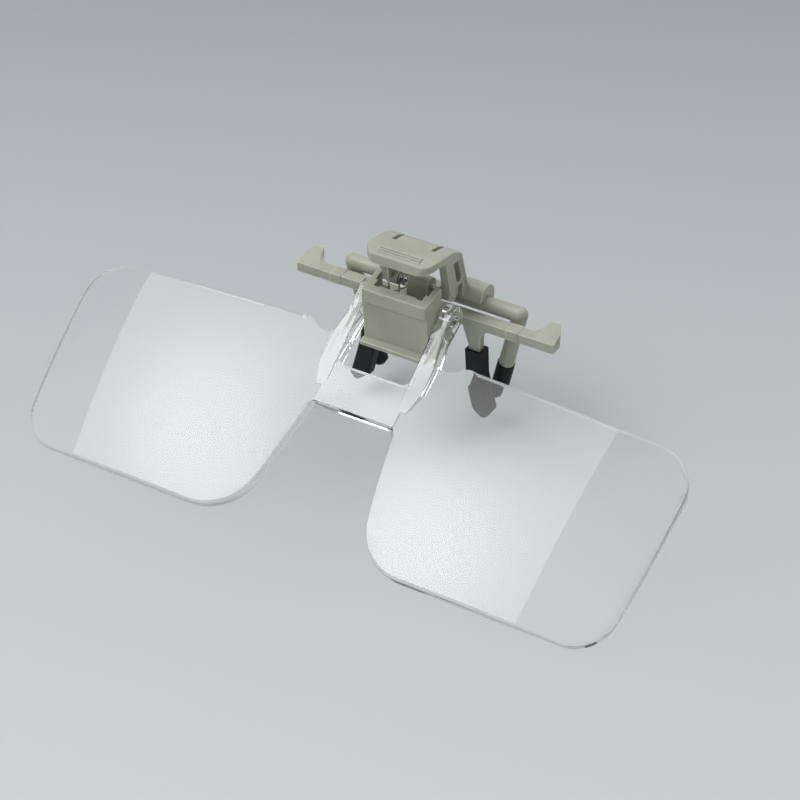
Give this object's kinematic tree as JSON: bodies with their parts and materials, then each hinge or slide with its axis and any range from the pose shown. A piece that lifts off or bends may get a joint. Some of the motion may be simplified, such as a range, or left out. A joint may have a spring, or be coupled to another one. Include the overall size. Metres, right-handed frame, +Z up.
{
  "type": "clip-on flip-up eyeglass loupe",
  "caption": "Clear two-lobed magnifier on a flip-up hinge, with a spring jaw that clips over the bridge of a pair of eyeglasses.",
  "frame": {"origin": "middle of the rear jaw's round bar, which lies behind the bridge of the eyeglasses", "axes": "+X to the right as seen from the front, +Y back towards the wearer, +Z up along the jaw's legs"},
  "size_m": [0.12, 0.0514, 0.0384],
  "materials": {
    "clear_acrylic": "polished clear acrylic",
    "grey_plastic": "satin moulded plastic",
    "black_rubber": "matt soft rubber",
    "spring_steel": "drawn wire",
    "pin_steel": "ground",
    "clear_pin": "clear plastic"
  },
  "bodies": {
    "front_clip": {"front_body": "grey_plastic", "front_sleeve_left": "black_rubber", "front_sleeve_right": "black_rubber", "lens_pivot_pin_left": "clear_pin", "lens_pivot_pin_right": "clear_pin", "torsion_spring": "spring_steel"},
    "jaw_lever": {"squeeze_lever": "grey_plastic", "rear_jaw": "grey_plastic", "rear_tip_left": "black_rubber", "rear_tip_right": "black_rubber", "hinge_pin": "pin_steel"},
    "lens": {"lens_moulding": "clear_acrylic"}
  },
  "joints": [
    {"name": "jaw_squeeze", "type": "hinge", "parent": "front_clip", "child": "jaw_lever", "pos_m": [0, -0.0048, 0.0035], "axis": [1, 0, 0], "range_deg": [-3.5, 20], "stiffness_Nm_per_rad": 0.08, "springref_deg": -28.65, "deforming": ["torsion_spring"]},
    {"name": "lens_flip", "type": "hinge", "parent": "front_clip", "child": "lens", "pos_m": [0, -0.0089, 0.0013], "axis": [-1, 0, 0], "range_deg": [-55, 95]}
  ]
}
